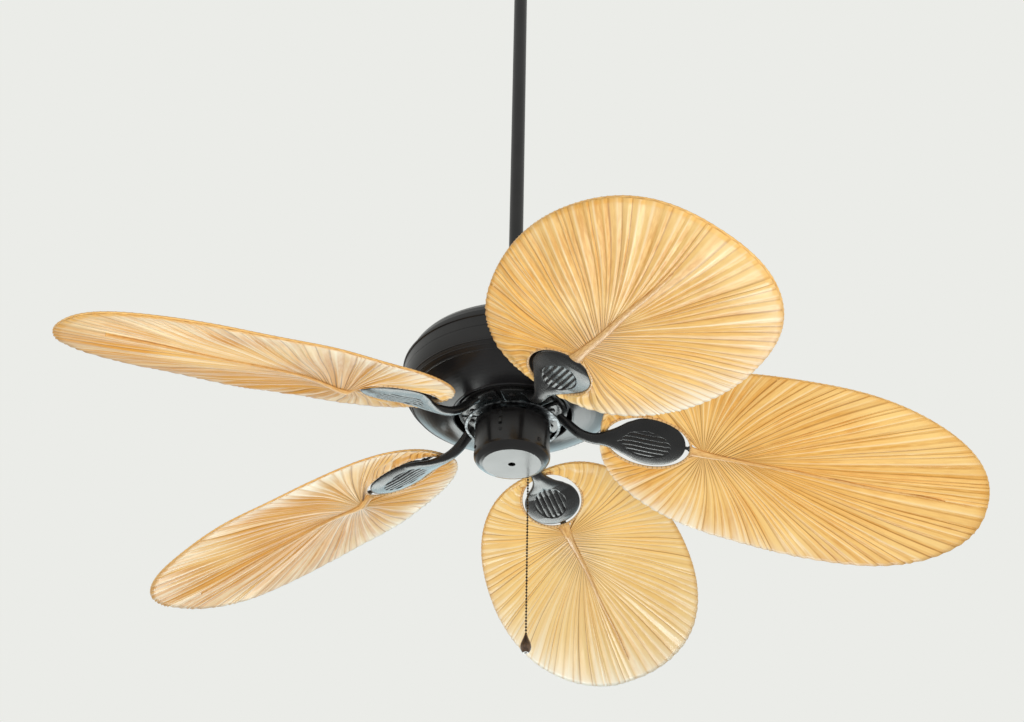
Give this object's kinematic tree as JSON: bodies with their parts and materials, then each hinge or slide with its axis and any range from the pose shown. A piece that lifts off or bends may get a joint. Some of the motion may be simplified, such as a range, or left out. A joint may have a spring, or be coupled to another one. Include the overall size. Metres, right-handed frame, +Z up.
{
  "type": "ceiling fan",
  "caption": "Ceiling fan with pleated palm-leaf blades on cast spoon arms, bowl motor housing, long downrod, ball hanger and pull chain.",
  "frame": {"origin": "centre of the hanger bracket's top face, where it meets the ceiling, midway between its two outlet box screws", "axes": "+Z straight up along the fan's axis into the ceiling, +X along the line of the two outlet box screws"},
  "size_m": [1.2412, 1.304, 1.4093],
  "materials": {
    "black_enamel": "satin black enamel",
    "cast_black": "satin black paint on cast metal",
    "zinc_plate": "bright zinc plate",
    "ball_resin": "moulded nylon",
    "wire_jacket": "vinyl",
    "lamination_steel": "stacked laminations",
    "copper_winding": "enamelled copper wire",
    "motor_casting": "as cast",
    "bearing_steel": "ground steel",
    "switch_body": "moulded",
    "slider_black": "moulded",
    "chain_brass": "antique plated beads",
    "fob_wood": "dark turned wood",
    "palm_leaf": "dried pleated palm leaf",
    "rattan_cane": "bound cane"
  },
  "bodies": {
    "ceiling_mount": {"hanger_bracket": "zinc_plate", "canopy": "black_enamel", "canopy_screws": "black_enamel"},
    "hanging_unit": {"hanger_ball": "ball_resin", "ball_pin": "zinc_plate", "ball_set_screw": "zinc_plate", "downrod": "black_enamel", "supply_cable": "wire_jacket", "coupling_cover": "black_enamel", "motor_yoke": "zinc_plate", "yoke_pin": "zinc_plate", "yoke_set_screws": "zinc_plate", "upper_housing": "black_enamel", "lower_housing": "black_enamel", "housing_screws": "zinc_plate", "motor_shaft": "zinc_plate", "stator_core": "lamination_steel", "stator_windings": "copper_winding", "switch_plate": "zinc_plate", "switch_plate_screws": "zinc_plate", "switch_housing": "black_enamel", "switch_cap": "black_enamel", "switch_housing_screws": "black_enamel", "pull_switch": "switch_body", "reverse_switch": "switch_body", "capacitor": "switch_body", "chain_guide": "chain_brass"},
    "rotor": {"rotor_ring": "lamination_steel", "lower_end_bell": "motor_casting", "upper_end_bell": "motor_casting", "lower_bearing": "bearing_steel", "upper_bearing": "bearing_steel", "flywheel": "cast_black", "arm_screws": "black_enamel", "blade_screws": "zinc_plate", "blade_arm_1": "cast_black", "blade_arm_2": "cast_black", "blade_arm_3": "cast_black", "blade_arm_4": "cast_black", "blade_arm_5": "cast_black", "palm_leaf_1": "palm_leaf", "palm_leaf_2": "palm_leaf", "palm_leaf_3": "palm_leaf", "palm_leaf_4": "palm_leaf", "palm_leaf_5": "palm_leaf", "leaf_frame_1": "rattan_cane", "leaf_frame_2": "rattan_cane", "leaf_frame_3": "rattan_cane", "leaf_frame_4": "rattan_cane", "leaf_frame_5": "rattan_cane", "blade_clamp_1": "cast_black", "blade_clamp_2": "cast_black", "blade_clamp_3": "cast_black", "blade_clamp_4": "cast_black", "blade_clamp_5": "cast_black"},
    "chain_pull": {"chain_stub": "chain_brass"},
    "chain": {"pull_chain": "chain_brass", "chain_fob": "fob_wood"},
    "reverse_lever": {"reverse_slider": "slider_black"}
  },
  "joints": [
    {"name": "hanger_tilt", "type": "hinge", "parent": "ceiling_mount", "child": "hanging_unit", "pos_m": [0, 0, -0.046], "axis": [1, 0, 0], "range_deg": [-15, 15]},
    {"name": "rotor_spin", "type": "hinge", "parent": "hanging_unit", "child": "rotor", "pos_m": [0, 0, -1.042], "axis": [0, 0, 1], "continuous": true},
    {"name": "chain_pull", "type": "slide", "parent": "hanging_unit", "child": "chain_pull", "axis": [0, 0, -1], "range_m": [0, 0.008], "stiffness_N_per_m": 1500},
    {"name": "chain_swing", "type": "hinge", "parent": "chain_pull", "child": "chain", "pos_m": [0.02817, 0.05298, -1.126], "axis": [0.4695, 0.8829, 0], "range_deg": [-30, 30]},
    {"name": "reverse_slide", "type": "slide", "parent": "hanging_unit", "child": "reverse_lever", "axis": [0, 0, 1], "range_m": [-0.003, 0.003]}
  ]
}
